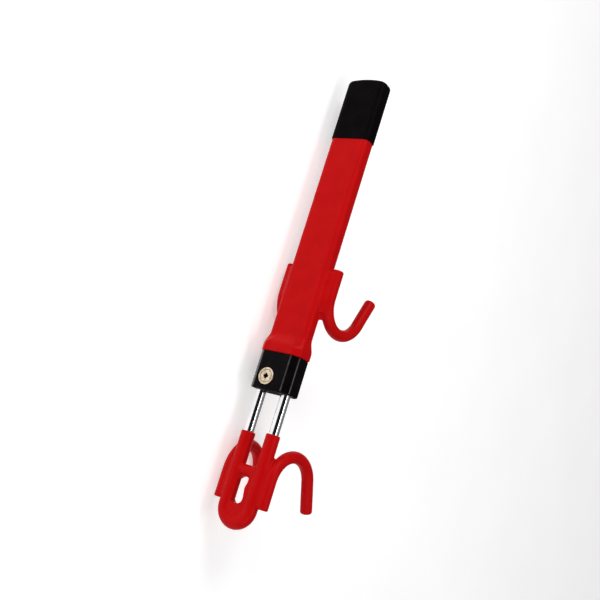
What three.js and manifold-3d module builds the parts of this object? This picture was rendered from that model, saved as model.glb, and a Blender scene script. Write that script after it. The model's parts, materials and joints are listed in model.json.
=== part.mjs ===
// Telescopic steering wheel lock with a U-bent bar and two pairs of hooks.
// Millimetres. +X runs along the bars towards the U-bent head, -Y is the key face,
// +Z is the right-hand side of the lock. It lies on its left-hand hooks.
import * as THREE from 'three';
import { mergeVertices } from 'three/addons/utils/BufferGeometryUtils.js';
import { ConvexGeometry } from 'three/addons/geometries/ConvexGeometry.js';
import Module from 'manifold-3d';

const wasm = await Module();
wasm.setup();

// ---- driving dimensions -------------------------------------------------
const GAP = 0.3;                    // gap left between pieces that touch
const ORIGIN = [0.75, 29.737, -38.292];  // middle of the whole lock, at its lowest point, the left-hand hooks

const LEG_Z = 14.15;                // each leg of the U-bar, from the middle
const BAR_R = 5;                    // chromed bar
const BAR_END_X = -142;             // inner ends of the legs
const BEND_X = 210;                 // centre of the U-bend
const BAR_COAT_R = 5.95;            // vinyl dip on the head of the U-bar
const BAR_COAT_X = { right: 138.5, left: 141 };  // where the dip starts on each leg
const WEB_T = 9.6;                  // the dip also fills round the slot between crossbar and bend
const WEB = [
  [181.6, -11], [186.4, -11], [186.4, -8.2], [184.3, -6], [183, -3], [182.6, 0], [183.2, 3], [184.8, 4.8],
  [187, 5.2], [192, 3.6], [197, 4.5], [202, 5.2], [205.3, 4.2], [207.3, 1], [207.6, -3], [206.5, -7], [204, -9],
  [204, -11], [210, -11], [217.8, -7.8], [221, 0], [217.8, 7.8], [210, 11], [181.6, 11],
];
const STOP_T = 3;                   // stop plate across the inner ends

const TUBE_X = [-225.5, 69.7];      // flat steel handle tube
const TUBE_OUT = [41.4, 13.2, 4.8]; // width, depth, corner radius
const TUBE_IN = [39, 10.8, 3.6];
const COAT_X = -163;                // upper end of the red handle coat
const COAT_OUT = [43.4, 15.8, 5.6];
const FLARE_X = [44, 56.5];         // the coat flares over the lock body here
const COLLAR_X = 64;                // lower edge of the collar
const CAP_X = -228.6;                // end of the rubber grip cap
const CAP_OUT = [45.2, 17.4, 6.4];
const CAP_END = { plan: 6.6, edge: 3.6 };  // radius of the closed end's corners and of its edge

const BODY_X = [57.5, 100];         // lock body casting
const BODY = [45, 28, 6.5];         // width, depth, edge chamfer
const SPIGOT = [44, 25.8, 6.2];     // its reduced end under the collar
const COLLAR = [46.6, 29.6, 6.8];
const BORE_R = 5.4;                 // bar bores in the casting
const WIPER = { r: 6.5, bore: 5.3, t: 2.2 };

const KEY = { x: 88, z: -4.3 };     // cylinder centre on the key face
const HOUSING_R = 8.3;
const PLUG_R = 6;
const SHANK_R = 4.5;
const KEYWAY = { length: 5.4, width: 2.1, hole: 2.1 };
const CRANK = { r: 1.2, arm: 1.8 };
const CLIP = { outer: 6, groove: 3.6 };
const DRIVER_ANGLES = [45, 135, 225, 315];
const HOUSING_PIN = { r: 1, y: -10.6 };
const CHAMBER = { x: [82.6, 93.4] };  // bolt chamber, open at the back
const BOLT_X = [83, 93];
const SPRING = { r: 1.3, wire: 0.3, y: 7.7, z: [-16.5, -11.8] };
const COVER = { x: [79.3, 96.7], z: [-16.6, 12.6], screwZ: -2 };
const SCREW_X = [81, 95];
const SCREW = { shank: 1, head: 2 };
const PIN_X = 61;                   // pins that hold the tube in the casting
const PIN_Z = [5, -5];
const PIN_R = 1.8;

const PITCH = 6.25;                 // ratchet notches on the right leg
const NOTCH_DEPTH = 1.6;
const TRAVEL = [-37.5, 200];        // bar travel, in and out

const ROD_R = 4.5;                  // hook rod
const HOOK_COAT_R = 5.8;            // hook rod with its vinyl dip
const LOWER_HOOK = {
  dir: -1, z: 24.6, y: 2, top: 151.3, width: 56.8, lean: 23.6, splay: { right: 4.5, left: 6.4 }, stemEnd: 205.4, leg: 32,
};
const UPPER_HOOK = {
  dir: 1, z: 26.4, y: 4.4, top: 27.3, width: 54.7, lean: 21.3, splay: { right: 5.5, left: 5.5 }, stemEnd: -27, leg: 31,
};
const CROSSBAR = { x: 176, r: 4, coat: 5.2 };

// ---- materials ----------------------------------------------------------
const metal = (color, roughness) => new THREE.MeshStandardMaterial({ color, roughness, metalness: 1 });
const plain = (color, roughness) => new THREE.MeshStandardMaterial({ color, roughness, metalness: 0 });
const CHROME = metal(0xd8dadc, 0.12);
const STEEL = metal(0x8e9093, 0.4);
const BRASS = metal(0xd9c48a, 0.3);
const RED_VINYL = plain(0xc00d10, 0.4);
const BLACK_PAINT = plain(0x0e0c0d, 0.35);
const BLACK_RUBBER = plain(0x0c0a0b, 0.6);
const BLACK_NYLON = plain(0x1c1c1e, 0.5);

// ---- solids: closed geometry in, boolean solid out ------------------------
function solid(geometry) {
  const bare = geometry.clone();
  bare.deleteAttribute('normal');
  bare.deleteAttribute('uv');
  const merged = mergeVertices(bare, 1e-4);
  return new wasm.Manifold(new wasm.Mesh({
    numProp: 3,
    vertProperties: new Float32Array(merged.attributes.position.array),
    triVerts: new Uint32Array(merged.index.array),
  }));
}

function union(...solids) {
  return solids.reduce((a, b) => a.add(b));
}

function cut(body, ...tools) {
  return tools.reduce((a, b) => a.subtract(b), body);
}

function geometryOf(manifold) {
  const mesh = manifold.getMesh();
  const geometry = new THREE.BufferGeometry();
  geometry.setAttribute('position', new THREE.BufferAttribute(Float32Array.from(mesh.vertProperties), 3));
  geometry.setIndex(new THREE.BufferAttribute(Uint32Array.from(mesh.triVerts), 1));
  geometry.computeVertexNormals();
  return geometry;
}

// ---- sections, drawn with Z across and Y up the section --------------------
function roundedSection([width, depth, radius], grow = 0) {
  const w = width / 2 + grow;
  const d = depth / 2 + grow;
  const r = radius + grow;
  const shape = new THREE.Shape();
  shape.absarc(w - r, d - r, r, 0, Math.PI / 2);
  shape.absarc(-(w - r), d - r, r, Math.PI / 2, Math.PI);
  shape.absarc(-(w - r), -(d - r), r, Math.PI, 1.5 * Math.PI);
  shape.absarc(w - r, -(d - r), r, 1.5 * Math.PI, 2 * Math.PI);
  return shape;
}

function chamferedSection([width, depth, chamfer], grow = 0) {
  const w = width / 2 + grow;
  const d = depth / 2 + grow;
  const c = chamfer + grow * 0.586;
  return new THREE.Shape([
    new THREE.Vector2(w, -(d - c)), new THREE.Vector2(w, d - c),
    new THREE.Vector2(w - c, d), new THREE.Vector2(-(w - c), d),
    new THREE.Vector2(-w, d - c), new THREE.Vector2(-w, -(d - c)),
    new THREE.Vector2(-(w - c), -d), new THREE.Vector2(w - c, -d),
  ]);
}

function prism(section, x0, x1) {
  const geometry = new THREE.ExtrudeGeometry(section, { depth: x1 - x0, bevelEnabled: false, curveSegments: 5 });
  geometry.rotateY(Math.PI / 2);
  geometry.translate(x0, 0, 0);
  return solid(geometry);
}

// A straight flare between two convex sections.
function flare(sectionA, xA, sectionB, xB) {
  const ring = (section, x) => section.getPoints(5).map((p) => new THREE.Vector3(x, p.y, -p.x));
  return solid(new ConvexGeometry([...ring(sectionA, xA), ...ring(sectionB, xB)]));
}

function box(x0, x1, y0, y1, z0, z1) {
  const geometry = new THREE.BoxGeometry(x1 - x0, y1 - y0, z1 - z0);
  geometry.translate((x0 + x1) / 2, (y0 + y1) / 2, (z0 + z1) / 2);
  return solid(geometry);
}

function rodX(radius, x0, x1, y, z, sides = 14) {
  const geometry = new THREE.CylinderGeometry(radius, radius, x1 - x0, sides);
  geometry.rotateZ(-Math.PI / 2);
  geometry.translate((x0 + x1) / 2, y, z);
  return solid(geometry);
}

function rodY(radius, y0, y1, x, z, sides = 14) {
  const geometry = new THREE.CylinderGeometry(radius, radius, y1 - y0, sides);
  geometry.translate(x, (y0 + y1) / 2, z);
  return solid(geometry);
}

function rodZ(radius, z0, z1, x, y, sides = 12) {
  const geometry = new THREE.CylinderGeometry(radius, radius, z1 - z0, sides);
  geometry.rotateX(Math.PI / 2);
  geometry.translate(x, y, (z0 + z1) / 2);
  return solid(geometry);
}

// A turned piece about a line along Y, from a closed list of [radius, y] points.
function turnedY(profile, x, z, sides = 24) {
  const geometry = new THREE.LatheGeometry(profile.map(([r, y]) => new THREE.Vector2(r, y)), sides);
  geometry.translate(x, 0, z);
  return solid(geometry);
}

function circleSection(radius, sides) {
  const points = [];
  for (let i = 0; i < sides; i += 1) {
    const angle = ((i + 0.5) / sides) * 2 * Math.PI;
    points.push(new THREE.Vector2(radius * Math.cos(angle), radius * Math.sin(angle)));
  }
  return new THREE.Shape(points);
}

// A line of bars and bends that keeps its own corner points, so that a rod and
// the coat around it are cut at the same stations.
class RodLine extends THREE.Curve {
  constructor(points) {
    super();
    this.points = points;
  }

  getPoint(t) {
    const place = t * (this.points.length - 1);
    const i = Math.min(Math.floor(place), this.points.length - 2);
    return this.points[i].clone().lerp(this.points[i + 1], place - i);
  }

  getPointAt(u) {
    return this.getPoint(u);
  }

  getTangentAt(u) {
    return this.getTangent(u);
  }
}

function sweep(line, radius, sides) {
  const steps = line.points.length - 1;
  return solid(new THREE.ExtrudeGeometry(circleSection(radius, sides), { extrudePath: line, steps }));
}

// ---- U-bar ----------------------------------------------------------------
function uShape(radius, startRight, startLeft = startRight) {
  const points = [];
  const steps = 12;
  for (let i = 0; i <= steps; i += 1) {
    const angle = Math.PI / 2 - (i / steps) * Math.PI;
    points.push(new THREE.Vector3(BEND_X + LEG_Z * Math.cos(angle), 0, LEG_Z * Math.sin(angle)));
  }
  return union(
    rodX(radius, startRight, BEND_X + 0.2, 0, LEG_Z),
    rodX(radius, startLeft, BEND_X + 0.2, 0, -LEG_Z),
    sweep(new RodLine(points), radius, 14),
  );
}

// A prism with a section drawn in X and Z, centred on the middle plane.
function prismY(points, width) {
  const section = new THREE.Shape(points.map(([x, z]) => new THREE.Vector2(x, z)));
  const geometry = new THREE.ExtrudeGeometry(section, { depth: width, bevelEnabled: false });
  geometry.rotateX(Math.PI / 2);
  geometry.translate(0, width / 2, 0);
  return solid(geometry);
}

// One sawtooth notch in the inner side of the right leg: steep towards the head,
// ramped towards the grip, so the bolt stops the bar from being pushed in.
function notch(x) {
  const face = LEG_Z - BAR_R - 0.6;
  const floor = LEG_Z - BAR_R + NOTCH_DEPTH;
  return prismY([[x - 3.6, face], [x + 1.75, face], [x + 1.75, floor], [x, floor]], 12);
}

function uBar() {
  let bar = uShape(BAR_R, BAR_END_X);
  for (let travel = TRAVEL[0]; travel <= TRAVEL[1]; travel += PITCH) {
    bar = bar.subtract(notch(KEY.x - travel));
  }
  return bar;
}

function uBarCoat() {
  return cut(
    union(uShape(BAR_COAT_R, BAR_COAT_X.right, BAR_COAT_X.left), prismY(WEB, WEB_T)),
    uShape(BAR_R + GAP, BAR_COAT_X.right - 1),
    rodZ(CROSSBAR.r + GAP, -9.5, 9.5, CROSSBAR.x, 0),
  );
}

function stopPlate() {
  const [width, depth, radius] = TUBE_IN;
  const x = BAR_END_X - GAP;
  return prism(roundedSection([width, depth, radius], -0.4), x - STOP_T, x);
}

// ---- hooks ----------------------------------------------------------------
// A stem along X, an arc over the end, and a far leg that leans outwards. side is
// 1 for the right-hand hook and -1 for the left. grow lengthens stem and leg.
function hookLine(hook, side, growStem, growLeg) {
  const radius = hook.width / 2;
  const centre = hook.top - hook.dir * radius;
  const splay = THREE.MathUtils.degToRad(side > 0 ? hook.splay.right : hook.splay.left);
  const turn = Math.PI - THREE.MathUtils.degToRad(hook.lean);
  const at = (across, along) => new THREE.Vector3(
    centre + hook.dir * along,
    hook.y + across * Math.cos(splay),
    side * (hook.z + across * Math.sin(splay)),
  );
  const stem = hook.dir * (hook.stemEnd - centre) - growStem;
  const points = [at(0, stem)];
  const steps = 10;
  for (let i = 0; i <= steps; i += 1) {
    const angle = (i / steps) * turn;
    points.push(at(radius - radius * Math.cos(angle), radius * Math.sin(angle)));
  }
  const leg = hook.leg + growLeg;
  points.push(at(
    radius - radius * Math.cos(turn) + leg * Math.sin(turn),
    radius * Math.sin(turn) + leg * Math.cos(turn),
  ));
  return new RodLine(points);
}

function hookRod(hook, side) {
  return sweep(hookLine(hook, side, 0, -1 - GAP), ROD_R, 10);
}

function hookCoat(hook, side, neighbour) {
  return cut(
    sweep(hookLine(hook, side, 0, 0), HOOK_COAT_R, 10),
    sweep(hookLine(hook, side, 1, -1), ROD_R + GAP, 10),
    neighbour,
  );
}

// ---- crossbar between the legs ---------------------------------------------
function crossbar() {
  const half = LEG_Z - BAR_R - GAP;
  return rodZ(CROSSBAR.r, -half, half, CROSSBAR.x, 0);
}

function crossbarCoat() {
  const half = LEG_Z - BAR_COAT_R - GAP;
  return cut(
    rodZ(CROSSBAR.coat, -half, half, CROSSBAR.x, 0),
    rodZ(CROSSBAR.r + GAP, -half - 1, half + 1, CROSSBAR.x, 0),
  );
}

// ---- handle -----------------------------------------------------------------
function handleTube() {
  return cut(
    prism(roundedSection(TUBE_OUT), TUBE_X[0], TUBE_X[1]),
    prism(roundedSection(TUBE_IN), TUBE_X[0] - 1, TUBE_X[1] + 1),
    ...PIN_Z.map((z) => rodY(PIN_R + GAP, -10, 10, PIN_X, z, 10)),
  );
}

function handleCoat() {
  return cut(
    union(
      prism(roundedSection(COAT_OUT), COAT_X, FLARE_X[0] + 0.05),
      flare(roundedSection(COAT_OUT), FLARE_X[0], chamferedSection(COLLAR), FLARE_X[1]),
      prism(chamferedSection(COLLAR), FLARE_X[1] - 0.05, COLLAR_X - GAP),
    ),
    prism(roundedSection(TUBE_OUT, GAP), COAT_X - 1, BODY_X[0]),
    prism(chamferedSection(SPIGOT, GAP), BODY_X[0] - GAP, COLLAR_X + 1),
  );
}

// How far a rounded end stands back from the full section, at a place from that end.
function roundedAway(radius, place) {
  const reach = Math.max(0, radius - place);
  return radius - Math.sqrt(radius * radius - reach * reach);
}

function capShell() {
  const [width, depth, radius] = CAP_OUT;
  const steps = 4;
  const points = [];
  const addRing = (x, section) => {
    section.getPoints(4).forEach((p) => points.push(new THREE.Vector3(x, p.y, -p.x)));
  };
  for (let i = 0; i <= steps; i += 1) {
    const place = CAP_END.plan * (1 - Math.cos((Math.PI / 2) * (i / steps)));
    const backZ = roundedAway(CAP_END.plan, place);
    const backY = roundedAway(CAP_END.edge, place);
    addRing(CAP_X + place, roundedSection([width - 2 * backZ, depth - 2 * backY, radius - 0.9 * backY]));
  }
  addRing(COAT_X - GAP, roundedSection(CAP_OUT));
  return solid(new ConvexGeometry(points));
}

function gripCap() {
  return cut(
    capShell(),
    prism(roundedSection(TUBE_OUT, GAP), TUBE_X[0] - GAP, COAT_X + 1),
  );
}

function tubeEndPlug() {
  return prism(roundedSection(TUBE_IN, -GAP), TUBE_X[0], TUBE_X[0] + 10);
}

// ---- lock body ---------------------------------------------------------------
function lockBody() {
  const legs = [LEG_Z, -LEG_Z];
  return cut(
    union(
      prism(chamferedSection(SPIGOT), BODY_X[0], COLLAR_X + 0.05),
      prism(chamferedSection(BODY), COLLAR_X, BODY_X[1]),
    ),
    prism(roundedSection(TUBE_OUT, GAP), BODY_X[0] - 1, TUBE_X[1] + GAP),
    ...legs.map((z) => rodX(BORE_R, TUBE_X[1], BODY_X[1] + 1, 0, z, 20)),
    ...legs.map((z) => rodX(WIPER.r + GAP, BODY_X[1] - WIPER.t - GAP, BODY_X[1] + 1, 0, z, 20)),
    ...PIN_Z.map((z) => rodY(PIN_R + GAP, -15, 15, PIN_X, z, 10)),
    rodY(HOUSING_R + 0.25, -15, -6.2, KEY.x, KEY.z, 24),
    rodY(CLIP.outer + GAP, -6.3, -4.8, KEY.x, KEY.z, 20),
    rodY(SHANK_R + GAP, -5, 6, KEY.x, KEY.z, 20),
    rodZ(HOUSING_PIN.r + GAP, -24, KEY.z - 7, KEY.x, HOUSING_PIN.y, 10),
    box(CHAMBER.x[0], CHAMBER.x[1], 5.8, 10.5, -16.8, 11.3),
    box(CHAMBER.x[0], CHAMBER.x[1], -4.1, 6, 0.3, 11.3),
    box(COVER.x[0] - GAP, COVER.x[1] + GAP, 10.4, 15, COVER.z[0] - GAP, COVER.z[1] + GAP),
    ...SCREW_X.map((x) => rodY(SCREW.shank + GAP, 5.4, 11, x, COVER.screwZ, 10)),
  );
}

function wiper(side) {
  return cut(
    rodX(WIPER.r, BODY_X[1] - WIPER.t, BODY_X[1], 0, side * LEG_Z, 20),
    rodX(WIPER.bore, BODY_X[1] - WIPER.t - 1, BODY_X[1] + 1, 0, side * LEG_Z, 20),
  );
}

function backCover() {
  return cut(
    box(COVER.x[0], COVER.x[1], 10.7, 13.2, COVER.z[0], COVER.z[1]),
    ...SCREW_X.map((x) => rodY(SCREW.shank + GAP, 10, 14, x, COVER.screwZ, 10)),
    ...SCREW_X.map((x) => rodY(SCREW.head + GAP, 11.9, 14, x, COVER.screwZ, 12)),
  );
}

function coverScrew(x) {
  const slot = box(x - 0.35, x + 0.35, 12.7, 14, COVER.screwZ - 3, COVER.screwZ + 3);
  return cut(
    union(
      rodY(SCREW.shank, 5.8, 12.4, x, COVER.screwZ, 10),
      rodY(SCREW.head, 12.2, 13.2, x, COVER.screwZ, 12),
    ),
    slot,
  );
}

function bodyPin(z) {
  return rodY(PIN_R, -SPIGOT[1] / 2, SPIGOT[1] / 2, PIN_X, z, 10);
}

// ---- key cylinder --------------------------------------------------------------
function pinHole(angle, radius, from, to) {
  const geometry = new THREE.CylinderGeometry(radius, radius, to - from, 8);
  geometry.translate(0, (from + to) / 2, 0);
  geometry.rotateX(Math.PI / 2);
  geometry.rotateY(THREE.MathUtils.degToRad(angle));
  geometry.translate(KEY.x, -11.4, KEY.z);
  return solid(geometry);
}

function cylinderHousing() {
  const ring = turnedY([
    [HOUSING_R, -14.6], [HOUSING_R, -6.5], [SHANK_R + GAP, -6.5], [SHANK_R + GAP, -7.6],
    [PLUG_R + GAP, -7.6], [PLUG_R + GAP, -14.6], [HOUSING_R, -14.6],
  ], KEY.x, KEY.z);
  return cut(
    ring,
    rodZ(HOUSING_PIN.r + GAP, KEY.z - 10, KEY.z - 7, KEY.x, HOUSING_PIN.y, 10),
    ...DRIVER_ANGLES.map((angle) => pinHole(angle, 0.95, PLUG_R - 0.2, HOUSING_R + 1)),
  );
}

function driverPin(angle) {
  return pinHole(angle, 0.65, PLUG_R + GAP, HOUSING_R - 0.2);
}

function housingPin() {
  return rodZ(HOUSING_PIN.r, -19, KEY.z - 7.2, KEY.x, HOUSING_PIN.y, 10);
}

// The crank at the back of the plug stands 45 degrees off the bolt's line at rest.
function keyPlug() {
  const offset = CRANK.arm * Math.SQRT1_2;
  const long = KEYWAY.length / 2;
  const wide = KEYWAY.width / 2;
  const turned = turnedY([
    [0, -14.4], [PLUG_R, -14.4], [PLUG_R, -7.9], [SHANK_R, -7.9], [SHANK_R, -6.2],
    [CLIP.groove, -6.2], [CLIP.groove, -5], [SHANK_R, -5], [SHANK_R, 5.4], [0, 5.4],
  ], KEY.x, KEY.z);
  return cut(
    union(turned, rodY(CRANK.r, 5, 8.7, KEY.x - offset, KEY.z - offset, 12)),
    box(KEY.x - long, KEY.x + long, -16, -9.4, KEY.z - wide, KEY.z + wide),
    box(KEY.x - wide, KEY.x + wide, -16, -9.4, KEY.z - long, KEY.z + long),
    rodY(KEYWAY.hole, -16, -9.5, KEY.x, KEY.z, 16),
  );
}

function plugClip() {
  const inner = CLIP.groove + GAP;
  return cut(
    turnedY([[CLIP.outer, -6], [CLIP.outer, -5.2], [inner, -5.2], [inner, -6], [CLIP.outer, -6]], KEY.x, KEY.z, 20),
    box(KEY.x - 8, KEY.x, -7, -4, KEY.z - 2.2, KEY.z + 2.2),
  );
}

// ---- bolt that drops into the notches -------------------------------------------
function lockingBolt() {
  const offset = CRANK.arm * Math.SQRT1_2;
  const nose = 6.25;
  const slotZ = KEY.z - offset;
  return cut(
    union(
      box(BOLT_X[0], BOLT_X[1], 6.2, 9, -11.5, 8),
      box(BOLT_X[0], BOLT_X[1], -3.6, 6.4, 0.75, nose),
      prismY([[KEY.x - 1.8, nose - 0.1], [KEY.x + 1.4, nose - 0.1], [KEY.x + 1.4, nose + 1.6],
        [KEY.x + 0.6, nose + 1.6]], 7.2),
    ),
    box(KEY.x - CRANK.arm - CRANK.r - 0.4, KEY.x - offset + CRANK.r + 0.4, 6, 9.5,
      slotZ - CRANK.r - 0.3, slotZ + CRANK.r + 0.3),
  );
}

function boltSpring() {
  const turns = 4;
  const stepsPerTurn = 9;
  const points = [];
  for (let i = 0; i <= turns * stepsPerTurn; i += 1) {
    const angle = (i / stepsPerTurn) * 2 * Math.PI;
    const z = SPRING.z[0] + SPRING.wire + (i / (turns * stepsPerTurn)) * (SPRING.z[1] - SPRING.z[0] - 2 * SPRING.wire);
    points.push(new THREE.Vector3(KEY.x + SPRING.r * Math.cos(angle), SPRING.y + SPRING.r * Math.sin(angle), z));
  }
  return sweep(new RodLine(points), SPRING.wire, 6);
}

// ---- assembly ---------------------------------------------------------------------
const lock = new THREE.Group();
lock.position.set(-ORIGIN[0], -ORIGIN[1], -ORIGIN[2]);

function addPiece(name, manifold, material) {
  const mesh = new THREE.Mesh(geometryOf(manifold), material);
  mesh.name = name;
  lock.add(mesh);
}

addPiece('handle_tube', handleTube(), STEEL);
addPiece('handle_coat', handleCoat(), RED_VINYL);
addPiece('grip_cap', gripCap(), BLACK_RUBBER);
addPiece('tube_end_plug', tubeEndPlug(), BLACK_NYLON);
addPiece('lock_body', lockBody(), BLACK_PAINT);
addPiece('back_cover', backCover(), BLACK_PAINT);
SCREW_X.forEach((x, i) => addPiece(`cover_screw_${i + 1}`, coverScrew(x), STEEL));
PIN_Z.forEach((z, i) => addPiece(`body_pin_${i + 1}`, bodyPin(z), STEEL));
addPiece('cylinder_housing', cylinderHousing(), BRASS);
addPiece('housing_pin', housingPin(), STEEL);
DRIVER_ANGLES.forEach((angle, i) => addPiece(`driver_pin_${i + 1}`, driverPin(angle), BRASS));
addPiece('key_plug', keyPlug(), BRASS);
addPiece('plug_clip', plugClip(), STEEL);
addPiece('locking_bolt', lockingBolt(), STEEL);
addPiece('bolt_spring', boltSpring(), STEEL);
addPiece('u_bar', uBar(), CHROME);
addPiece('u_bar_coat', uBarCoat(), RED_VINYL);
addPiece('stop_plate', stopPlate(), STEEL);
addPiece('crossbar', crossbar(), STEEL);
addPiece('crossbar_coat', crossbarCoat(), RED_VINYL);
for (const [side, word] of [[1, 'right'], [-1, 'left']]) {
  addPiece(`wiper_${word}`, wiper(side), BLACK_NYLON);
  addPiece(`upper_hook_${word}`, hookRod(UPPER_HOOK, side), STEEL);
  addPiece(`upper_hook_${word}_coat`, hookCoat(UPPER_HOOK, side,
    prism(roundedSection(COAT_OUT, GAP), -60, FLARE_X[0])), RED_VINYL);
  addPiece(`lower_hook_${word}`, hookRod(LOWER_HOOK, side), STEEL);
  addPiece(`lower_hook_${word}_coat`, hookCoat(LOWER_HOOK, side,
    uShape(BAR_COAT_R + GAP, BAR_COAT_X.left)), RED_VINYL);
}

export default lock;
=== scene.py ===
"""Looks of a telescopic steering wheel lock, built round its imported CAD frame.

Everything is in metres in the CAD frame. Sizes below are in millimetres from the lock's own middle line:
x along the bars towards the U-shaped head, y from the key face to the back, z towards the right-hand side.
"""
import json
import math

import bmesh
import bpy
from mathutils import Matrix, Vector, noise


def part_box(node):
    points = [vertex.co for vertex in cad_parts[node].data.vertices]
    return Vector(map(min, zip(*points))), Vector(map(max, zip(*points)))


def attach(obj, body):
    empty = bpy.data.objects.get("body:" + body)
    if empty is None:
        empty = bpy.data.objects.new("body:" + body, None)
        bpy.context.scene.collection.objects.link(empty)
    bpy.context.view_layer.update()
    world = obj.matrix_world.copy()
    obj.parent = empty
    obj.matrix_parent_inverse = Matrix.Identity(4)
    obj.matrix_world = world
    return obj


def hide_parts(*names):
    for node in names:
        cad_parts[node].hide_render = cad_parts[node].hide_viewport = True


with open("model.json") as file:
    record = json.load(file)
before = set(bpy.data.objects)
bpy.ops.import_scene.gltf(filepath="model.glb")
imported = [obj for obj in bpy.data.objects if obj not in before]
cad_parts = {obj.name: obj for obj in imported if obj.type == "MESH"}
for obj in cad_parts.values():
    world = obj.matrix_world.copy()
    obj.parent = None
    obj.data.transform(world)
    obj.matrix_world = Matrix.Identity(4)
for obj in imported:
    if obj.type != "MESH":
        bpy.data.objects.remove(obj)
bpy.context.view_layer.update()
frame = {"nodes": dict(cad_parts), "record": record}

MM = 0.001

# ---- sizes, mm -----------------------------------------------------------------------------------
LEG_Z = 14.15                        # legs of the U-bar, to the right and left of the middle line
BEND_X = 210.0                       # where its bend starts
BAR_R = 5.0
BAR_END_X = -142.0                   # inner ends of its legs
DIP_R = 6.8                          # vinyl dip on the U-bar's head
DIP_X = (138.5, 141.0)               # where it starts on the right and the left leg
CROSSBAR_X = 176.0
CROSSBAR_R = 5.2                     # over its dip
NOTCH_PITCH = 6.25                   # ratchet notches on the right leg
NOTCH_DEPTH = 1.6
TRAVEL = (-37.5, 200.0)              # of the bar, in and out

# sections across the lock: width, depth, cut corner, edge radius
HANDLE = (43.4, 15.8, 0, 5.6)
TUBE = (41.4, 13.2, 0, 4.8)
COLLAR = (46.6, 29.6, 6.8, 1.4)
SPIGOT = (44.0, 25.8, 6.2, 0.6)
BODY = (45.0, 28.0, 6.5, 2.3)
CAP = (45.2, 17.4, 0, 6.4)
CAP_END = (3.8, 3.2, 2.7)            # radius in plan, radius of its edge, crown
CAP_STEPS = (12, 11)                 # points round each corner and along each flat
CAP_X = -228.6                       # its closed end
CAP_HOLLOW_X = -222.5
CAP_LAP = 7.0                        # how far it laps over the handle's dip

# the dip that narrows the U's slot, as (x, z): thick at its bottom and one side, thin at its top
WEB_T = 10.2
WEB = (
    (178, 12), (178, 5.4), (187, 5.2), (192, 3.6), (197, 4.5), (202, 5.2), (205.3, 4.2), (207.3, 1),
    (207.6, -3), (206.5, -7), (204, -9), (204, -12), (210, -12), (218.5, -8.5), (222, 0), (218.5, 8.5),
    (210, 12),
)
CORNER_T = 4.5
CORNER = (
    (176, -12), (187, -12), (187, -8), (184.6, -6.6), (182.6, -4), (181.3, 0), (182.6, 3), (184.8, 4.8),
    (187, 5.4), (187, 12), (176, 12),
)

HANDLE_X = -163.0                    # where the handle comes out of the cap
FLARE_X = (43.0, 57.0)               # from the handle to the collar
COLLAR_X = 63.7                      # end of the collar
BODY_X = (57.5, 64.0, 100.0)         # lock body: its spigot's start, its own start and its end

KEY_X = 88.0
KEY_Z = -4.3
KEY = (KEY_X, 0, KEY_Z)              # axis of the key cylinder
PLUG_R = 6.0
HOUSING_R = 8.3
KEYWAY = dict(length=5.4, width=2.1, hole=2.1)
KEYWAY_Y = (-16.0, -9.4)             # cut from in front of the plug's face to the keyway's floor
CRANK_ARM = 1.8
SCREW_X = (81, 95)                   # screws of the cover at the back
SCREW_Z = -2

HOOK_R = 5.8
SKIN = 0.08                          # added to a dipped rod for what the smoothing takes off
# dip that fills the groove beside each upper stem: radius, z and (x, y) line
GUSSETS = (
    (4.4, 22.2, ((-25.5, 3.8), (5, 4.0), (21, 8.2))),
    (4.4, 21.4, ((-25.5, 0.9), (2, 0.9), (15, 4.0))),
)
# Hooks: the stem lies along x at y and z. It ends at x = stem, 1.3 mm past its steel, so that the dip closes
# over it. The bend reaches x = top and is width across between the rods' middles. lean is the far leg's, and
# splay is that of the right and the left hook, in degrees.
LOWER_HOOK = dict(
    dir=-1, z=24.6, y=2.0, top=151.3, width=56.8, lean=23.6, splay=(4.5, 6.4), stem=206.7, leg=32.0,
)
UPPER_HOOK = dict(
    dir=1, z=26.4, y=4.4, top=27.3, width=54.7, lean=21.3, splay=(5.5, 5.5), stem=-28.3, leg=31.0,
)
FILLET = dict(radius=5.2, inset=4.8, forward=1.0, past_stem=21)

bar_low, bar_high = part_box("u_bar")
body_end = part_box("lock_body")[1].x
AXIS = Vector((body_end - BODY_X[2] * MM, (bar_low.y + bar_high.y) / 2, (bar_low.z + bar_high.z) / 2))


def at(x, y, z):
    """A point given in mm from the lock's middle line, in the frame."""
    return AXIS + Vector((x, y, z)) * MM


# ---- mesh tools ----------------------------------------------------------------------------------
def new_object(name, verts, faces):
    mesh = bpy.data.meshes.new(name)
    mesh.from_pydata([tuple(v) for v in verts], [], faces)
    bm = bmesh.new()
    bm.from_mesh(mesh)
    bmesh.ops.recalc_face_normals(bm, faces=bm.faces)
    bm.to_mesh(mesh)
    bm.free()
    obj = bpy.data.objects.new(name, mesh)
    bpy.context.scene.collection.objects.link(obj)
    return obj


def skinned(name, outlines, ring_shaped=False):
    """Quads between outlines with equal numbers of points, closed by flat ends or into a ring."""
    count = len(outlines[0])
    verts = [v for outline in outlines for v in outline]
    faces = []
    for i in range(len(outlines) if ring_shaped else len(outlines) - 1):
        a, b = i * count, (i + 1) % len(outlines) * count
        for j in range(count):
            k = (j + 1) % count
            faces.append((a + j, a + k, b + k, b + j))
    if not ring_shaped:
        faces.append(tuple(range(count)))
        faces.append(tuple(range(len(verts) - count, len(verts))))
    return new_object(name, verts, faces)


def applied(obj):
    """Replaces the object's mesh by the one its modifiers give."""
    graph = bpy.context.evaluated_depsgraph_get()
    mesh = bpy.data.meshes.new_from_object(obj.evaluated_get(graph))
    obj.modifiers.clear()
    obj.data = mesh
    return obj


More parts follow.
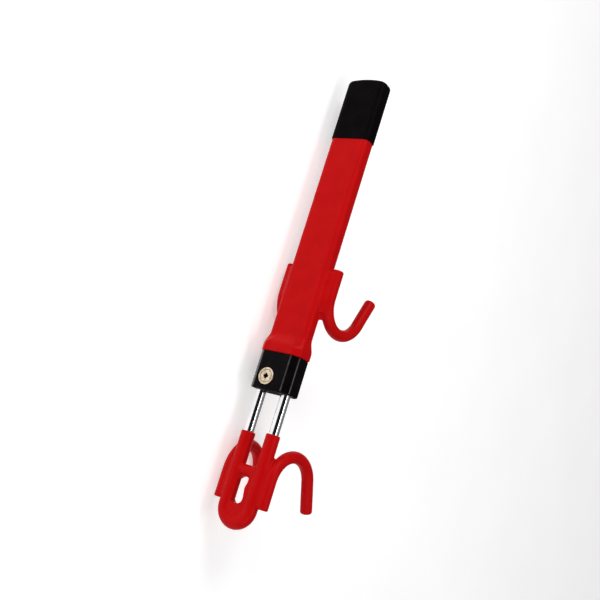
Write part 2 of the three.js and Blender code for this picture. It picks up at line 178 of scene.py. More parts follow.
def joined(name, objects):
    """One object that holds several closed meshes."""
    bm = bmesh.new()
    for obj in objects:
        bm.from_mesh(obj.data)
        bpy.data.objects.remove(obj)
    mesh = bpy.data.meshes.new(name)
    bm.to_mesh(mesh)
    bm.free()
    obj = bpy.data.objects.new(name, mesh)
    bpy.context.scene.collection.objects.link(obj)
    return obj


def boolean(obj, operation, other):
    """Joins the other object to this one or cuts it out, and uses it up."""
    modifier = obj.modifiers.new("boolean", "BOOLEAN")
    modifier.operation = operation
    modifier.solver = "MANIFOLD"
    modifier.object = other
    applied(obj)
    bpy.data.objects.remove(other)


def cut(obj, *cutters):
    for cutter in cutters:
        boolean(obj, "DIFFERENCE", cutter)
    return obj


def dipped(obj, voxel, rounds):
    """One skin over all the object's parts, with the grooves between them filled as vinyl fills them."""
    skin = obj.modifiers.new("skin", "REMESH")
    skin.mode = "VOXEL"
    skin.voxel_size = voxel * MM
    flow = obj.modifiers.new("flow", "SMOOTH")
    flow.factor = 0.5
    flow.iterations = rounds
    return applied(obj)


def uneven(obj, height, size, seed):
    """Moves the surface in and out by a slow noise, as a dipped or moulded skin varies."""
    offset = Vector((seed, 2.0 * seed, 3.0 * seed))
    normals = [v.normal.copy() for v in obj.data.vertices]
    for vertex, normal in zip(obj.data.vertices, normals):
        vertex.co += normal * (noise.noise(vertex.co / (size * MM) + offset) * height * MM)
    return obj


def bevelled(obj, width):
    bevel = obj.modifiers.new("bevel", "BEVEL")
    bevel.width = width * MM
    bevel.segments = 3
    bevel.limit_method = "ANGLE"
    bevel.angle_limit = math.radians(40)
    return applied(obj)


def smooth_shaded(obj, angle):
    obj.data.shade_smooth()
    obj.data.set_sharp_from_angle(angle=math.radians(angle))
    return obj


# ---- shapes along x, from a section --------------------------------------------------------------
def section(size, inset=0.0, steps=8, between=0):
    """The outline of a size from the list above, shrunk by inset, as (y, z) points.

    Each corner has steps + 1 points, and each flat between two corners has some more where asked.
    """
    width, depth, chamfer, radius = size
    z, y = width / 2 - inset, depth / 2 - inset
    corners = [(-y, z), (y, z), (y, -z), (-y, -z)]
    if chamfer:
        c = chamfer - 0.586 * inset
        corners = [
            (c - y, z), (y - c, z), (y, z - c), (y, c - z),
            (y - c, -z), (c - y, -z), (-y, c - z), (-y, z - c),
        ]
    radius = max(radius - inset, 0.05)
    arcs = []
    for i, here in enumerate(corners):
        here = Vector(here)
        to_last = (Vector(corners[i - 1]) - here).normalized()
        to_next = (Vector(corners[(i + 1) % len(corners)]) - here).normalized()
        half = to_last.angle(to_next) / 2
        centre = here + (to_last + to_next).normalized() * radius / math.sin(half)
        first = (here + to_last * radius / math.tan(half) - centre).normalized()
        last = (here + to_next * radius / math.tan(half) - centre).normalized()
        arcs.append([centre + first.slerp(last, k / steps).normalized() * radius for k in range(steps + 1)])
    points = []
    for arc, following in zip(arcs, arcs[1:] + arcs[:1]):
        points += arc
        points += [arc[-1].lerp(following[0], (k + 1) / (between + 1)) for k in range(between)]
    return [tuple(point) for point in points]


def ring(x, size, inset=0.0, steps=8, between=0):
    return [at(x, y, z) for y, z in section(size, inset, steps, between)]


def quarter_round(radius):
    """(distance from the end, inset) at places round an edge, from the end face to the full size."""
    steps = 6
    angles = [math.pi / 2 * i / steps for i in range(steps + 1)]
    return [(radius * (1 - math.cos(angle)), radius * (1 - math.sin(angle))) for angle in angles]


def start_rings(x, size, radius):
    """Rings that round the low-x end of a prism."""
    return [ring(x + back, size, inset) for back, inset in quarter_round(radius)]


def end_rings(x, size, radius, steps=8, between=0):
    """Rings that round the high-x end of a prism."""
    return [ring(x - back, size, inset, steps, between) for back, inset in reversed(quarter_round(radius))]


def plain_prism(size, x0, x1, grow):
    return skinned("cutter", [ring(x0, size, -grow), ring(x1, size, -grow)])


def block(x0, x1, y0, y1, z0, z1):
    corners = [at(x, y, z) for x in (x0, x1) for y, z in ((y0, z0), (y0, z1), (y1, z1), (y1, z0))]
    return skinned("cutter", [corners[:4], corners[4:]])


# ---- turned shapes -------------------------------------------------------------------------------
def turned(name, axis, centre, profile, sides=64, closed=False):
    """A turned piece: profile is (radius, place along the axis). closed joins its last point to the first."""
    cx, cy, cz = centre
    rings = []
    for radius, place in profile:
        points = []
        for i in range(sides):
            angle = 2 * math.pi * i / sides
            u, v = radius * math.cos(angle), radius * math.sin(angle)
            if axis == "y":
                points.append(at(cx + u, place, cz + v))
            elif axis == "x":
                points.append(at(place, cy + u, cz + v))
            else:
                points.append(at(cx + u, cy + v, place))
        rings.append(points)
    return skinned(name, rings, ring_shaped=closed)


def rod(axis, radius, low, high, centre, sides=48):
    return turned("cutter", axis, centre, [(radius, low), (radius, high)], sides)


# ---- swept rods ----------------------------------------------------------------------------------
class Path:
    """A line of points in one plane, measured along its length in mm."""

    def __init__(self, points, normal):
        self.points = points
        self.normal = normal.normalized()
        self.places = [0.0]
        for a, b in zip(points, points[1:]):
            self.places.append(self.places[-1] + (b - a).length)
        self.length = self.places[-1]

    def point(self, place):
        i = 0
        while i < len(self.points) - 2 and self.places[i + 1] < place:
            i += 1
        share = (place - self.places[i]) / (self.places[i + 1] - self.places[i])
        return self.points[i].lerp(self.points[i + 1], share)

    def tangent(self, place):
        return (self.point(place + 0.5) - self.point(place - 0.5)).normalized()


def rod_profile(length, radius, edge0, edge1, spacing):
    """Places along a rod and its radius there, with rounded end edges."""
    start = [(back, radius - inset) for back, inset in quarter_round(edge0)]
    end = [(length - back, radius - inset) for back, inset in reversed(quarter_round(edge1))]
    straight = length - edge0 - edge1
    count = max(2, round(straight / spacing))
    middle = [(edge0 + straight * i / count, radius) for i in range(1, count)]
    return start + middle + end


def swept(name, path, profile, sides=40):
    rings = []
    for place, radius in profile:
        centre = path.point(place)
        across = path.normal.cross(path.tangent(place)).normalized()
        points = []
        for i in range(sides):
            angle = 2 * math.pi * i / sides
            offset = across * math.cos(angle) + path.normal * math.sin(angle)
            points.append(at(*(centre + offset * radius)))
        rings.append(points)
    return skinned(name, rings)


def u_path(right_x, left_x):
    points = [Vector((right_x, 0, LEG_Z))]
    steps = 60
    for i in range(steps + 1):
        angle = math.pi / 2 - math.pi * i / steps
        points.append(Vector((BEND_X + LEG_Z * math.cos(angle), 0, LEG_Z * math.sin(angle))))
    points.append(Vector((left_x, 0, -LEG_Z)))
    return Path(points, Vector((0, 1, 0)))


def hook_path(hook, side):
    """A stem along x, an arc over the end and a far leg that leans outwards. side is 1 right, -1 left."""
    radius = hook["width"] / 2
    centre = hook["top"] - hook["dir"] * radius
    splay = math.radians(hook["splay"][0 if side > 0 else 1])
    turn = math.pi - math.radians(hook["lean"])

    def spot(across, along):
        return Vector((
            centre + hook["dir"] * along,
            hook["y"] + across * math.cos(splay),
            side * (hook["z"] + across * math.sin(splay)),
        ))

    points = [spot(0, hook["dir"] * (hook["stem"] - centre))]
    steps = 60
    for i in range(steps + 1):
        angle = turn * i / steps
        points.append(spot(radius - radius * math.cos(angle), radius * math.sin(angle)))
    points.append(spot(
        radius - radius * math.cos(turn) + hook["leg"] * math.sin(turn),
        radius * math.sin(turn) + hook["leg"] * math.cos(turn),
    ))
    return Path(points, Vector((0, -side * math.sin(splay), math.cos(splay))))


def hook_rod(hook, side):
    path = hook_path(hook, side)
    return swept("rod", path, rod_profile(path.length, HOOK_R + SKIN, 0.9, 2.2, 2.0))


def weld_fillet(side):
    """Fills the groove between a lower hook and the leg, from the stem's end to a little round the bend."""
    path = hook_path(LOWER_HOOK, side)
    stem = abs(LOWER_HOOK["stem"] - LOWER_HOOK["top"]) - LOWER_HOOK["width"] / 2
    shift = Vector((0, -FILLET["forward"], -side * FILLET["inset"]))
    points = [path.point(place) + shift for place in range(2, round(stem + FILLET["past_stem"]))]
    line = Path(points, path.normal)
    return swept("fillet", line, rod_profile(line.length, FILLET["radius"], 1.2, 1.2, 2.0), 16)


def gusset(side, radius, z, line):
    path = Path([Vector((x, y, side * z)) for x, y in line], Vector((0, 0, 1)))
    return swept("gusset", path, rod_profile(path.length, radius, 1.4, 1.4, 2.0), 20)


# ---- red dips ------------------------------------------------------------------------------------
def reach(outline, ray):
    """How far a ray from the middle line goes before it meets the outline."""
    for a, b in zip(outline, outline[1:] + outline[:1]):
        a, b = Vector(a), Vector(b)
        edge = b - a
        det = ray.x * edge.y - ray.y * edge.x
        if abs(det) < 1e-9:
            continue
        distance = (a.x * edge.y - a.y * edge.x) / det
        along = (a.x * ray.y - a.y * ray.x) / det
        if distance > 0 and -1e-6 <= along <= 1 + 1e-6:
            return distance


def handle_ring(x, share):
    """A ring that is the handle at share 0 and the collar at share 1."""
    handle, collar = section(HANDLE), section(COLLAR)
    count = 160
    points = []
    for i in range(count):
        angle = 2 * math.pi * (i + 0.5) / count
        ray = Vector((math.sin(angle), math.cos(angle)))
        y, z = ray * (reach(handle, ray) * (1 - share) + reach(collar, ray) * share)
        points.append(at(x, y, z))
    return points


def handle_skin():
    """The handle, its flare and its collar as one solid, before the hooks are joined to it."""
    rings = [handle_ring(x, 0) for x in (HANDLE_X - CAP_LAP, -60, 0, FLARE_X[0])]
    steps = 12
    for i in range(1, steps + 1):
        share = i / steps
        x = FLARE_X[0] + (FLARE_X[1] - FLARE_X[0]) * share
        rings.append(handle_ring(x, share * share * (3 - 2 * share)))
    rings.append(handle_ring(COLLAR_X, 1))
    return skinned("handle", rings)


def handle_dip():
    """The dip over the handle and the upper hooks, hollow where the tube and the lock body's spigot sit."""
    parts = [handle_skin()]
    for side in (1, -1):
        parts.append(hook_rod(UPPER_HOOK, side))
        parts += [gusset(side, *shape) for shape in GUSSETS]
    obj = dipped(joined("handle_dip", parts), 0.7, 9)
    uneven(obj, 0.07, 16, 1.0)
    cut(obj, plain_prism(TUBE, HANDLE_X - 20, 58, 0.3), plain_prism(SPIGOT, 57.2, 80, 0.3))
    return smooth_shaded(obj, 42)


def web(outline, thickness):
    return skinned("web", [[at(x, y, z) for x, z in outline] for y in (-thickness / 2, thickness / 2)])


def head_dip():
    """The dip over the U, its crossbar and the lower hooks, with the bar's bore cut out of it."""
    path = u_path(*DIP_X)
    parts = [swept("rod", path, rod_profile(path.length, DIP_R + SKIN, 0.8, 0.8, 2.0))]
    parts.append(rod("z", CROSSBAR_R + SKIN, -LEG_Z, LEG_Z, (CROSSBAR_X, 0, 0)))
    for side in (1, -1):
        parts.append(hook_rod(LOWER_HOOK, side))
        parts.append(weld_fillet(side))
    parts += [web(WEB, WEB_T), web(CORNER, CORNER_T)]
    obj = dipped(joined("head_dip", parts), 0.5, 8)
    uneven(obj, 0.07, 12, 2.0)
    bar = u_path(DIP_X[0] - 5, DIP_X[0] - 5)
    cut(obj, swept("cutter", bar, rod_profile(bar.length, BAR_R + 0.05, 0.3, 0.3, 3.0)))
    return smooth_shaded(obj, 42)


# ---- bar and lock body ---------------------------------------------------------------------------
def notch(x):
    """A sawtooth notch in the inner side of the right leg, steep towards the head."""
    face = LEG_Z - BAR_R - 0.6
    floor = LEG_Z - BAR_R + NOTCH_DEPTH
    outline = [(x - 3.6, face), (x + 1.75, face), (x + 1.75, floor), (x, floor)]
    return skinned("cutter", [[at(u, y, v) for u, v in outline] for y in (-6, 6)])


def chrome_bar():
    path = u_path(BAR_END_X, BAR_END_X)
    obj = swept("chrome_bar", path, rod_profile(path.length, BAR_R, 0.7, 0.7, 4.0), 56)
    count = round((TRAVEL[1] - TRAVEL[0]) / NOTCH_PITCH)
    notches = [notch(KEY_X - TRAVEL[0] - i * NOTCH_PITCH) for i in range(count + 1)]
    cut(obj, joined("cutter", notches))
    return smooth_shaded(obj, 30)


def leg_bores(radius, x):
    """A bore for each leg, from x out through the end that the bars leave."""
    return joined("cutter", [rod("x", radius, x, 105, (0, 0, z)) for z in (LEG_Z, -LEG_Z)])


def cylinder_seat():
    """A bore for the cylinder housing, with a wider mouth."""
    wide, close = HOUSING_R + 0.7, HOUSING_R + 0.25
    return turned("cutter", "y", KEY, [(wide, -15), (wide, -13.9), (close, -13.4), (close, -6.2)])


def screw_holes(radius, y0, y1, sides=24):
    return [rod("y", radius, y0, y1, (x, 0, SCREW_Z), sides) for x in SCREW_X]


def lock_casting():
    """The casting with its bores, the seat and shank of the cylinder and the chamber behind its cover."""
    rings = [ring(BODY_X[0], SPIGOT), ring(BODY_X[1], SPIGOT)]
    rings += start_rings(BODY_X[1], BODY, 0.5)
    rings += end_rings(BODY_X[2], BODY, 1.1)
    obj = skinned("lock_casting", rings)
    cut(
        obj,
        plain_prism(TUBE, 50, 70, 0.3),
        leg_bores(5.4, 69.5),
        leg_bores(6.8, 97.5),
        cylinder_seat(),
        rod("y", 6.3, -6.4, -4.8, KEY),
        rod("y", 4.8, -5.2, 6, KEY),
        block(82.6, 93.4, 5.8, 10.5, -16.8, 11.3),
        block(82.6, 93.4, -4.1, 6, 0.3, 11.3),
        block(79.0, 97.0, 10.4, 15, -16.9, 12.9),
        joined("cutter", screw_holes(1.3, 5.4, 11)),
    )
    return smooth_shaded(obj, 30)


def wiper_ring(word, side):
    profile = [(6.5, 97.8), (6.5, 99.7), (6.2, 100), (5.6, 100), (5.3, 99.6), (5.3, 97.8)]
    return smooth_shaded(turned(f"wiper_ring_{word}", "x", (0, 0, side * LEG_Z), profile, closed=True), 35)


def cylinder_ring():
    front = -14.6
    profile = [
        (HOUSING_R, -6.5), (HOUSING_R, front + 0.5), (HOUSING_R - 0.15, front + 0.15),
        (HOUSING_R - 0.5, front), (PLUG_R + 0.75, front), (PLUG_R + 0.45, front + 0.12),
        (PLUG_R + 0.3, front + 0.4), (PLUG_R + 0.3, -7.6), (4.8, -7.6), (4.8, -6.5),
    ]
    return smooth_shaded(turned("cylinder_ring", "y", KEY, profile, 96, closed=True), 25)


def key_barrel():
    """The turning plug: a domed face with a cross keyway, its shank and the crank behind it."""
    front = -14.45
    profile = [
        (0.05, front), (3.6, front), (3.9, front + 0.1), (4.2, front + 0.1), (4.5, front),
        (PLUG_R - 0.35, front), (PLUG_R - 0.1, front + 0.1), (PLUG_R, front + 0.4),
        (PLUG_R, -7.9), (4.5, -7.9), (4.5, -6.2), (3.6, -6.2), (3.6, -5.0), (4.5, -5.0),
        (4.5, 5.4), (0.05, 5.4),
    ]
    obj = turned("key_barrel", "y", KEY, profile, 96)
    crank = CRANK_ARM / math.sqrt(2)
    long, wide = KEYWAY["length"] / 2, KEYWAY["width"] / 2
    boolean(obj, "UNION", rod("y", 1.2, 5.2, 8.7, (KEY_X - crank, 0, KEY_Z - crank), 24))
    cut(
        obj,
        block(KEY_X - long, KEY_X + long, *KEYWAY_Y, KEY_Z - wide, KEY_Z + wide),
        block(KEY_X - wide, KEY_X + wide, *KEYWAY_Y, KEY_Z - long, KEY_Z + long),
        rod("y", KEYWAY["hole"], KEYWAY_Y[0], KEYWAY_Y[1] - 0.1, KEY, 32),
    )
    return smooth_shaded(obj, 25)


def cover_plate():
    obj = bevelled(block(79.3, 96.7, 10.7, 13.2, -16.6, 12.6), 0.4)
    obj.name = "cover_plate"
    cut(obj, *screw_holes(1.3, 10, 14), *screw_holes(2.3, 11.9, 14, 32))
    return smooth_shaded(obj, 30)


def slotted_screw(index, x):
    profile = [
        (0.05, 5.8), (1.0, 5.8), (1.0, 12.2), (2.0, 12.2), (2.0, 12.9), (1.8, 13.15), (1.2, 13.25),
        (0.05, 13.3),
    ]
    obj = turned(f"slotted_screw_{index}", "y", (x, 0, SCREW_Z), profile, 32)
    cut(obj, block(x - 0.3, x + 0.3, 12.6, 14, SCREW_Z - 3, SCREW_Z + 3))
    return smooth_shaded(obj, 30)


def rounded_away(radius, place):
    """How far a rounded end stands back from its full size, at a place from the end."""
    return radius - math.sqrt(max(0.0, radius**2 - max(0.0, radius - place) ** 2))


def cap_end_rings():
    """The closed end: rounded in plan and along its edge, and crowned across its width."""
    plan, edge, crown = CAP_END
    width, depth, _, radius = CAP
    steps = 16
    rings = []
    for i in range(steps + 1):
        back = plan * (1 - math.cos(math.pi / 2 * i / steps))
        less_z, less_y = rounded_away(plan, back), rounded_away(edge, back)
        outline = section((width - 2 * less_z, depth - 2 * less_y, 0, radius - 0.9 * less_y), 0, *CAP_STEPS)
        points = [(CAP_X + back + crown * (z / (width / 2)) ** 2, y, z) for y, z in outline]
        if i == 0:      # a nearly closed ring comes first, so that the end face follows the crown
            rings.append([at(x, 0.02 * y, z) for x, y, z in points])
        rings.append([at(*point) for point in points])
    return rings


def grip_sleeve():
    rings = cap_end_rings()
    for x in (-215, -200, -185, -172):
        rings.append(ring(x, CAP, 0, *CAP_STEPS))
    rings += end_rings(HANDLE_X + 0.9, CAP, 0.8, *CAP_STEPS)
    obj = skinned("grip_sleeve", rings)
    for_tube = plain_prism(TUBE, CAP_HOLLOW_X, HANDLE_X + 5, 0.3)
    for_dip = plain_prism(HANDLE, HANDLE_X - CAP_LAP - 0.3, HANDLE_X + 5, 0.15)
    return smooth_shaded(cut(obj, for_tube, for_dip), 30)


# ---- materials -----------------------------------------------------------------------------------
class Surface:
    """A procedural material: a few textures in object space that drive colour, roughness and bump."""

    def __init__(self, name, metallic=0.0):
        self.material = bpy.data.materials.new(name)
        self.material.use_nodes = True
        self.tree = self.material.node_tree
        self.shader = self.tree.nodes["Principled BSDF"]
        self.shader.inputs["Metallic"].default_value = metallic
        self.coords = self.tree.nodes.new("ShaderNodeTexCoord")
        self.last_bump = None

    def noise(self, size, detail=3.0, stretch=(1, 1, 1)):
        """Noise whose features are about size mm across, drawn out along the axes by stretch."""
        mapping = self.tree.nodes.new("ShaderNodeMapping")
        mapping.inputs["Scale"].default_value = [1 / (size * MM * s) for s in stretch]
        self.tree.links.new(self.coords.outputs["Object"], mapping.inputs["Vector"])
        texture = self.tree.nodes.new("ShaderNodeTexNoise")
        texture.inputs["Scale"].default_value = 1.0
        texture.inputs["Detail"].default_value = detail
        self.tree.links.new(mapping.outputs["Vector"], texture.inputs["Vector"])
        return texture.outputs["Fac"]

    def rings(self, centre, size):
        """Turned rings about a line along y."""
        mapping = self.tree.nodes.new("ShaderNodeMapping")
        mapping.inputs["Location"].default_value = [-c for c in centre]
        self.tree.links.new(self.coords.outputs["Object"], mapping.inputs["Vector"])
        texture = self.tree.nodes.new("ShaderNodeTexWave")
        texture.wave_type = "RINGS"
        texture.rings_direction = "Y"
        texture.inputs["Scale"].default_value = 0.314 / (size * MM)
        texture.inputs["Distortion"].default_value = 0.4
        self.tree.links.new(mapping.outputs["Vector"], texture.inputs["Vector"])
        return texture.outputs["Fac"]

    def colour(self, value, first, second, low=0.35, high=0.65):
        """Base colour from first to second as the value goes from low to high."""
        ramp = self.tree.nodes.new("ShaderNodeValToRGB")
        ramp.color_ramp.elements[0].position = low
        ramp.color_ramp.elements[1].position = high
        ramp.color_ramp.elements[0].color = (*first, 1)
        ramp.color_ramp.elements[1].color = (*second, 1)
        self.tree.links.new(value, ramp.inputs["Fac"])
        self.tree.links.new(ramp.outputs["Color"], self.shader.inputs["Base Color"])

    def rough(self, value, low, high):
        """Roughness that varies with the value between low and high."""
        spread = self.tree.nodes.new("ShaderNodeMapRange")
        spread.inputs["From Min"].default_value = 0.3
        spread.inputs["From Max"].default_value = 0.7
        spread.inputs["To Min"].default_value = low
        spread.inputs["To Max"].default_value = high
        self.tree.links.new(value, spread.inputs["Value"])
        self.tree.links.new(spread.outputs["Result"], self.shader.inputs["Roughness"])

    def bump(self, value, height):
        """Bump of a height in mm, added to any before it."""
        bump = self.tree.nodes.new("ShaderNodeBump")
        bump.inputs["Distance"].default_value = height * MM
        bump.inputs["Strength"].default_value = 1.0
        self.tree.links.new(value, bump.inputs["Height"])
        if self.last_bump:
            self.tree.links.new(self.last_bump.outputs["Normal"], bump.inputs["Normal"])
        self.tree.links.new(bump.outputs["Normal"], self.shader.inputs["Normal"])
        self.last_bump = bump


def red_vinyl():
    s = Surface("red_vinyl_dip")
    s.colour(s.noise(14, 4), (0.50, 0.0024, 0.0032), (0.54, 0.0032, 0.0042))
    s.rough(s.noise(5, 4), 0.3, 0.4)
    s.shader.inputs["Specular IOR Level"].default_value = 0.045
    s.bump(s.noise(3.0, 2), 0.05)
    s.bump(s.noise(0.5, 2), 0.006)
    s.bump(s.noise(0.8, 3, (12, 1, 1)), 0.004)
    return s.material


def black_paint():
    s = Surface("black_enamel")
    s.colour(s.noise(9, 4), (0.0018, 0.0013, 0.0016), (0.0032, 0.0027, 0.0031))
    s.rough(s.noise(4, 4), 0.2, 0.3)
    s.shader.inputs["Specular IOR Level"].default_value = 0.045
    s.bump(s.noise(1.6, 3), 0.02)
    s.bump(s.noise(0.35, 2), 0.004)
    return s.material


def black_rubber():
    s = Surface("black_rubber_grip")
    s.colour(s.noise(11, 5), (0.0015, 0.0009, 0.0013), (0.0030, 0.0022, 0.0028))
    s.rough(s.noise(3, 5), 0.42, 0.56)
    s.shader.inputs["Specular IOR Level"].default_value = 0.025
    s.bump(s.noise(0.45, 3), 0.03)
    s.bump(s.noise(6, 3), 0.06)
    return s.material


def black_nylon():
    s = Surface("black_nylon")
    s.colour(s.noise(4, 3), (0.008, 0.008, 0.009), (0.014, 0.014, 0.015))
    s.rough(s.noise(2, 3), 0.42, 0.52)
    s.bump(s.noise(0.4, 2), 0.01)
    return s.material


def chrome():
    s = Surface("chrome_plate", 1.0)
    s.colour(s.noise(20, 3), (0.80, 0.81, 0.82), (0.87, 0.88, 0.89))
    s.rough(s.noise(6, 4, (4, 1, 1)), 0.05, 0.1)
    s.bump(s.noise(5, 2, (6, 1, 1)), 0.0012)
    return s.material


def steel():
    s = Surface("plain_steel", 1.0)
    s.colour(s.noise(6, 4), (0.38, 0.385, 0.39), (0.52, 0.525, 0.53))
    s.rough(s.noise(2, 5, (6, 1, 1)), 0.3, 0.42)
    s.bump(s.noise(0.4, 4, (12, 1, 1)), 0.006)
    return s.material


def brass():
    s = Surface("turned_brass", 1.0)
    s.colour(s.noise(3, 4), (0.50, 0.40, 0.27), (0.78, 0.67, 0.50))
    s.rough(s.noise(1.5, 4), 0.2, 0.32)
    s.bump(s.rings(at(*KEY), 0.22), 0.004)
    s.bump(s.noise(0.6, 3), 0.003)
    return s.material


# Near-black for the keyway's walls: painted shade, where the recess falls into shadow.
def keyway_shade_paint():
    s = Surface("keyway_shade_paint")
    s.colour(s.noise(1, 3), (0.004, 0.0015, 0.001), (0.012, 0.004, 0.002))
    s.rough(s.noise(0.6, 3), 0.5, 0.7)
    s.bump(s.noise(0.3, 2), 0.01)
    s.shader.inputs["Specular IOR Level"].default_value = 0.2
    return s.material


# A lighter grey for the long rounded edges of the lock body: a painted highlight standing in for lamps
# glinting along those edges.
def edge_highlight_paint():
    s = Surface("painted_edge_highlight")
    s.colour(s.noise(1.4, 4, (5, 1, 1)), (0.010, 0.008, 0.009), (0.065, 0.055, 0.060), 0.3, 0.7)
    s.rough(s.noise(1, 4, (4, 1, 1)), 0.25, 0.4)
    s.bump(s.noise(0.5, 3, (6, 1, 1)), 0.01)
    return s.material


def matt_paint():
    s = Surface("matt_end_paint")
    s.colour(s.noise(2, 4), (0.0018, 0.0014, 0.0016), (0.0038, 0.0032, 0.0035))
    s.rough(s.noise(1, 4), 0.7, 0.85)
    s.bump(s.noise(0.5, 3), 0.03)
    s.shader.inputs["Specular IOR Level"].default_value = 0.03
    return s.material


def dress_casting(casting):
    """The long rounded edges of the chamfers get a lighter grey as a painted highlight, and the end the bars
    leave is matt.
    """
    casting.data.materials.append(edge_highlight_paint())
    casting.data.materials.append(matt_paint())
    highlight_slot, matt = 1, 2
    flats = [math.radians(turn) for turn in range(0, 361, 45)]
    rounded = 0.06                   # radians a face of a rounded edge is turned from the flats, or more
    for face in casting.data.polygons:
        normal = face.normal
        turn = math.atan2(normal.y, normal.z) % (2 * math.pi)
        off_flat = min(abs(turn - flat) for flat in flats)
        offset = (face.center - AXIS) / MM
        on_side = offset.x > BODY_X[1] and abs(normal.x) < 0.2
        outside = math.hypot(offset.y / BODY[1], offset.z / BODY[0]) > 0.5
        # the rounded edge faces on the sides take the painted highlight
        if on_side and outside and off_flat > rounded:
            face.material_index = highlight_slot
        elif normal.x > 0.6:
            face.material_index = matt


def paint_keyway_shade(barrel):
    """The walls of the keyway are painted near-black: painted shade for the recess."""
    barrel.data.materials.append(keyway_shade_paint())
    shade_slot = 1
    reach = 3.3
    front, floor = -14.3, -9.0
    for face in barrel.data.polygons:
        offset = (face.center - at(*KEY)) / MM
        if math.hypot(offset.x, offset.z) < reach and front < offset.y < floor:
            face.material_index = shade_slot


MATERIALS = {
    "red_vinyl": red_vinyl(),
    "black_paint": black_paint(),
    "black_rubber": black_rubber(),
    "black_nylon": black_nylon(),
    "chrome": chrome(),
    "steel": steel(),
    "brass": brass(),
}


def fitted(obj, slot, body, *nodes):
    """Gives a finished piece its material, its body and the CAD nodes it stands for."""
    obj.data.materials.clear()
    obj.data.materials.append(MATERIALS[slot])
    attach(obj, body)
    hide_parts(*nodes)
    return obj


def dress_inner_nodes():
    """The CAD nodes that no piece here stands for keep their shape and take the same materials."""
    slots = {part["node"]: part["material_slot"] for part in frame["record"]["subparts"]}
    for name, node in frame["nodes"].items():
        node.data.materials.clear()
        node.data.materials.append(MATERIALS[slots[name]])


def add_pieces():
    handle_coats = ("handle_coat", "upper_hook_right_coat", "upper_hook_left_coat")
    head_coats = ("u_bar_coat", "crossbar_coat", "lower_hook_right_coat", "lower_hook_left_coat")
    fitted(handle_dip(), "red_vinyl", "handle", *handle_coats)
    fitted(head_dip(), "red_vinyl", "bar", *head_coats)
    fitted(grip_sleeve(), "black_rubber", "handle", "grip_cap")
    dress_casting(fitted(lock_casting(), "black_paint", "handle", "lock_body"))
    fitted(cover_plate(), "black_paint", "handle", "back_cover")
    fitted(cylinder_ring(), "brass", "handle", "cylinder_housing")
    paint_keyway_shade(fitted(key_barrel(), "brass", "plug", "key_plug"))
    fitted(chrome_bar(), "chrome", "bar", "u_bar")
    for word, side in (("right", 1), ("left", -1)):
        fitted(wiper_ring(word, side), "black_nylon", "handle", f"wiper_{word}")
    for index, x in enumerate(SCREW_X, 1):
        fitted(slotted_screw(index, x), "steel", "handle", f"cover_screw_{index}")


# ---- studio --------------------------------------------------------------------------------------
# The camera looks at TARGET from distance m, at azimuth and elevation degrees, rolled by roll degrees, with
# a lens of lens mm.
TARGET = at(7.0, 0, -3.2)
CAMERA = dict(azimuth=14.38, elevation=34.69, roll=99.16, distance=0.9269, lens=57.71)


def direction(azimuth, elevation):
    """Unit vector at azimuth degrees, counted from the front (-y) towards +x, and elevation degrees."""
    a, e = math.radians(azimuth), math.radians(elevation)
    return Vector((math.sin(a) * math.cos(e), -math.cos(a) * math.cos(e), math.sin(e)))


def add_camera():
    data = bpy.data.cameras.new("camera")
    data.lens = CAMERA["lens"]
    data.clip_end = 20
    camera = bpy.data.objects.new("camera", data)
    bpy.context.scene.collection.objects.link(camera)
    back = direction(CAMERA["azimuth"], CAMERA["elevation"])
    right = Vector((0, 0, 1)).cross(back).normalized()
    up = back.cross(right)
    roll = math.radians(CAMERA["roll"])
    turned_right = right * math.cos(roll) + up * math.sin(roll)
    turned_up = up * math.cos(roll) - right * math.sin(roll)
    axes = Matrix((turned_right, turned_up, back)).transposed()
    camera.matrix_world = Matrix.Translation(TARGET + back * CAMERA["distance"]) @ axes.to_4x4()
    bpy.context.scene.camera = camera


def add_light(name, azimuth, elevation, distance, size, power):
    data = bpy.data.lights.new(name, "AREA")
    data.shape = "RECTANGLE"
    data.size, data.size_y = size
    data.energy = power
    light = bpy.data.objects.new(name, data)
    bpy.context.scene.collection.objects.link(light)
    back = direction(azimuth, elevation)
    light.location = TARGET + back * distance
    light.rotation_mode = "QUATERNION"
    light.rotation_quaternion = back.to_track_quat("Z", "Y")


def add_floor():
    half = 6.0
    corners = [(-half, -half, 0), (half, -half, 0), (half, half, 0), (-half, half, 0)]
    floor = new_object("floor", corners, [(0, 1, 2, 3)])
    floor.data.materials.append(floor_paper())


def floor_paper():
    s = Surface("studio_paper")
    s.colour(s.noise(120, 3), (0.90, 0.90, 0.90), (0.93, 0.93, 0.93))
    s.rough(s.noise(60, 2), 0.8, 0.9)
    s.shader.inputs["Specular IOR Level"].default_value = 0.06
    s.shader.inputs["Emission Color"].default_value = (1, 1, 1, 1)
    s.shader.inputs["Emission Strength"].default_value = 0.38
    return s.material


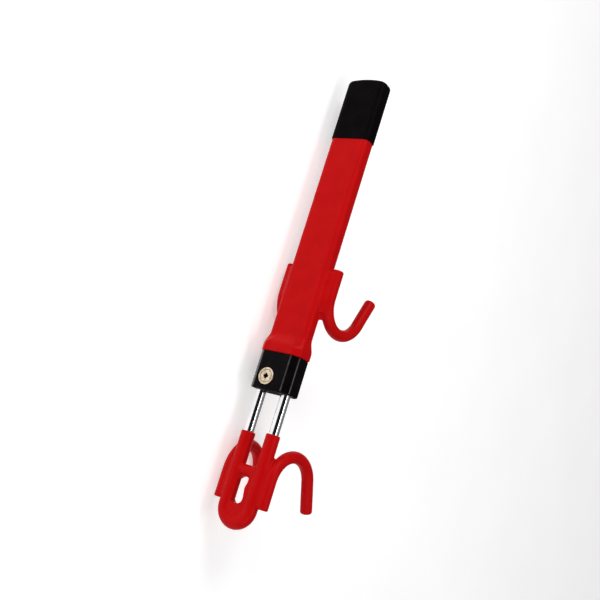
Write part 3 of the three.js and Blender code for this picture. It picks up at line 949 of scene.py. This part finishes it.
def add_world():
    """A pale room, greyer near its horizon, with one dark gap in front between the soft lights.

    The chrome and the paint mirror all of it, but the backdrop itself is plain white.
    """
    world = bpy.data.worlds.new("studio")
    bpy.context.scene.world = world
    world.use_nodes = True
    tree = world.node_tree
    coords = tree.nodes.new("ShaderNodeTexCoord")
    split = tree.nodes.new("ShaderNodeSeparateXYZ")
    tree.links.new(coords.outputs["Generated"], split.inputs["Vector"])

    def eased(axis, start, end, low, high):
        """Goes smoothly from low to high as the direction's axis goes from start to end."""
        ramp = tree.nodes.new("ShaderNodeMapRange")
        ramp.interpolation_type = "SMOOTHSTEP"
        ramp.inputs["From Min"].default_value = start
        ramp.inputs["From Max"].default_value = end
        ramp.inputs["To Min"].default_value = low
        ramp.inputs["To Max"].default_value = high
        tree.links.new(split.outputs[axis], ramp.inputs["Value"])
        return ramp.outputs["Result"]

    def combined(operation, first, second):
        node = tree.nodes.new("ShaderNodeMath")
        node.operation = operation
        tree.links.new(first, node.inputs[0])
        tree.links.new(second, node.inputs[1])
        return node.outputs["Value"]

    room = eased("Z", 0.0, 0.35, 0.25, 0.62)
    beside = combined("MAXIMUM", eased("X", -0.42, -0.36, 1, 0), eased("X", 0.18, 0.24, 0, 1))
    over = combined("MAXIMUM", eased("Z", 0.02, 0.08, 1, 0), eased("Z", 0.93, 0.97, 0, 1))
    gap = combined("MAXIMUM", combined("MAXIMUM", beside, over), eased("Y", -0.1, 0.0, 0.02, 1))
    behind = eased("Y", 0.15, 0.5, 1, 0.3)
    lit = combined("MULTIPLY", combined("MULTIPLY", room, gap), behind)
    backdrop = tree.nodes.new("ShaderNodeLightPath").outputs["Is Camera Ray"]
    tree.links.new(combined("MAXIMUM", lit, backdrop), tree.nodes["Background"].inputs["Strength"])
    tree.nodes["Background"].inputs["Color"].default_value = (1, 1, 1, 1)


dress_inner_nodes()
add_pieces()
add_floor()
add_world()
add_camera()
add_light("key", -50, 34, 1.7, (0.7, 0.5), 10)
add_light("fill", 58, 34, 1.8, (0.7, 0.5), 3)
add_light("strip", 25, 80, 1.5, (1.2, 0.12), 4)
bpy.context.scene.view_settings.view_transform = "Standard"

bpy.context.view_layer.update()
